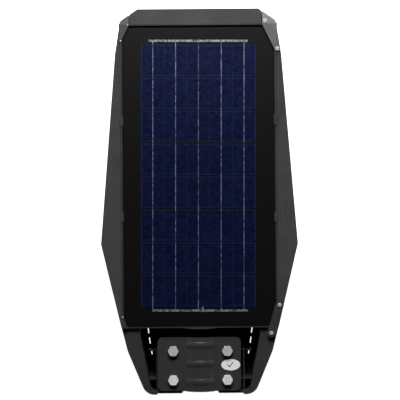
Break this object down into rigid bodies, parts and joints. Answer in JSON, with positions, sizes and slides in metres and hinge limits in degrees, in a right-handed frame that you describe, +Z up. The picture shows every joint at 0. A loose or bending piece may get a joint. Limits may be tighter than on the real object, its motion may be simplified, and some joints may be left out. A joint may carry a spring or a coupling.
{
  "type": "solar street lamp",
  "caption": "All-in-one solar street lamp head with a faceted housing, a panel under glass on top, an LED array and motion sensor below, and a bolted half-tube pole clamp.",
  "frame": {"origin": "centre of the pole clamp's bore, half way along the clamp plate", "axes": "+Y along the lamp from the pole to its front end; +Z up, out of the solar panel; +X to the right seen from above with the front end away from the viewer"},
  "size_m": [0.2712, 0.5281, 0.0651],
  "materials": {
    "black_abs": "fine spark texture",
    "black_abs_facets": "fine spark texture with faint flow lines",
    "zinc_steel": "bright zinc",
    "foam_rubber": "closed-cell foam",
    "black_backsheet": "smooth film",
    "silicon_cell": "polycrystalline, blue",
    "tinned_copper": "dull tin",
    "tempered_glass": "polished",
    "black_coated_steel": "satin powder coat",
    "white_label": "printed film, left blank",
    "led_board_aluminium": "white solder mask",
    "phosphor_led": "silicone over phosphor",
    "white_plastic": "gloss white",
    "clear_polycarbonate": "clear",
    "silicone_seal": "matt",
    "milky_polythene": "milky, translucent",
    "sensor_can": "nickel",
    "red_button": "gloss red",
    "battery_sleeve": "blue shrink sleeve over a cell",
    "circuit_board": "green solder mask",
    "black_component": "moulded",
    "lead_insulation": "red and black"
  },
  "bodies": {
    "lamp": {"lower_housing": "black_abs", "side_rail_left": "black_abs_facets", "side_rail_right": "black_abs_facets", "front_cap": "black_abs_facets", "corner_front_left": "black_abs_facets", "corner_front_right": "black_abs_facets", "corner_rear_left": "black_abs_facets", "corner_rear_right": "black_abs_facets", "corner_screws": "zinc_steel", "corner_rivets": "zinc_steel", "rail_screws": "zinc_steel", "panel_carrier": "black_abs", "carrier_screws": "zinc_steel", "panel_gasket": "foam_rubber", "panel_backsheet": "black_backsheet", "solar_cells": "silicon_cell", "cell_ribbons": "tinned_copper", "bus_ribbons": "tinned_copper", "panel_glass": "tempered_glass", "panel_junction_box": "black_abs", "pole_saddle": "black_abs", "clamp_nuts": "zinc_steel", "led_board": "led_board_aluminium", "led_chips": "phosphor_led", "led_board_screws": "zinc_steel", "reflector_tray": "white_plastic", "lens_cover": "clear_polycarbonate", "lens_gasket": "silicone_seal", "lens_screws": "zinc_steel", "pir_dome": "milky_polythene", "pir_sensor": "sensor_can", "switch_body": "black_abs", "switch_nut": "zinc_steel", "indicator_lens": "clear_polycarbonate", "vent_plug": "black_abs", "battery_cells": "battery_sleeve", "battery_cradle": "black_abs", "battery_straps": "silicone_seal", "battery_screws": "zinc_steel", "controller_board": "circuit_board", "controller_parts": "black_component", "board_screws": "zinc_steel", "panel_lead": "lead_insulation", "battery_lead": "lead_insulation"},
    "clamp": {"clamp_plate": "black_coated_steel", "inspection_sticker": "white_label"},
    "bolt_1": {"clamp_bolt_1": "zinc_steel"},
    "bolt_2": {"clamp_bolt_2": "zinc_steel"},
    "bolt_3": {"clamp_bolt_3": "zinc_steel"},
    "bolt_4": {"clamp_bolt_4": "zinc_steel"},
    "button": {"button_cap": "red_button"}
  },
  "joints": [
    {"name": "clamp_lift", "type": "slide", "parent": "lamp", "child": "clamp", "axis": [0, 0, 1], "range_m": [-0.0045, 0.012]},
    {"name": "bolt_turn_1", "type": "hinge", "parent": "clamp", "child": "bolt_1", "pos_m": [-0.037, -0.0218, 0.0197], "axis": [0, 0, 1], "range_deg": [-1300, 3460]},
    {"name": "bolt_turn_2", "type": "hinge", "parent": "clamp", "child": "bolt_2", "pos_m": [-0.037, 0.0178, 0.0197], "axis": [0, 0, 1], "range_deg": [-1300, 3460]},
    {"name": "bolt_turn_3", "type": "hinge", "parent": "clamp", "child": "bolt_3", "pos_m": [0.037, -0.0218, 0.0197], "axis": [0, 0, 1], "range_deg": [-1300, 3460]},
    {"name": "bolt_turn_4", "type": "hinge", "parent": "clamp", "child": "bolt_4", "pos_m": [0.037, 0.0178, 0.0197], "axis": [0, 0, 1], "range_deg": [-1300, 3460]},
    {"name": "button_press", "type": "slide", "parent": "lamp", "child": "button", "axis": [0, 0, 1], "range_m": [0, 0.0015], "stiffness_N_per_m": 400, "springref_m": -0.001}
  ],
  "couplings": [
    {"joint": "bolt_turn_1", "follows": "clamp_lift", "rad_per_m": 5026.5},
    {"joint": "bolt_turn_2", "follows": "clamp_lift", "rad_per_m": 5026.5},
    {"joint": "bolt_turn_3", "follows": "clamp_lift", "rad_per_m": 5026.5},
    {"joint": "bolt_turn_4", "follows": "clamp_lift", "rad_per_m": 5026.5}
  ]
}
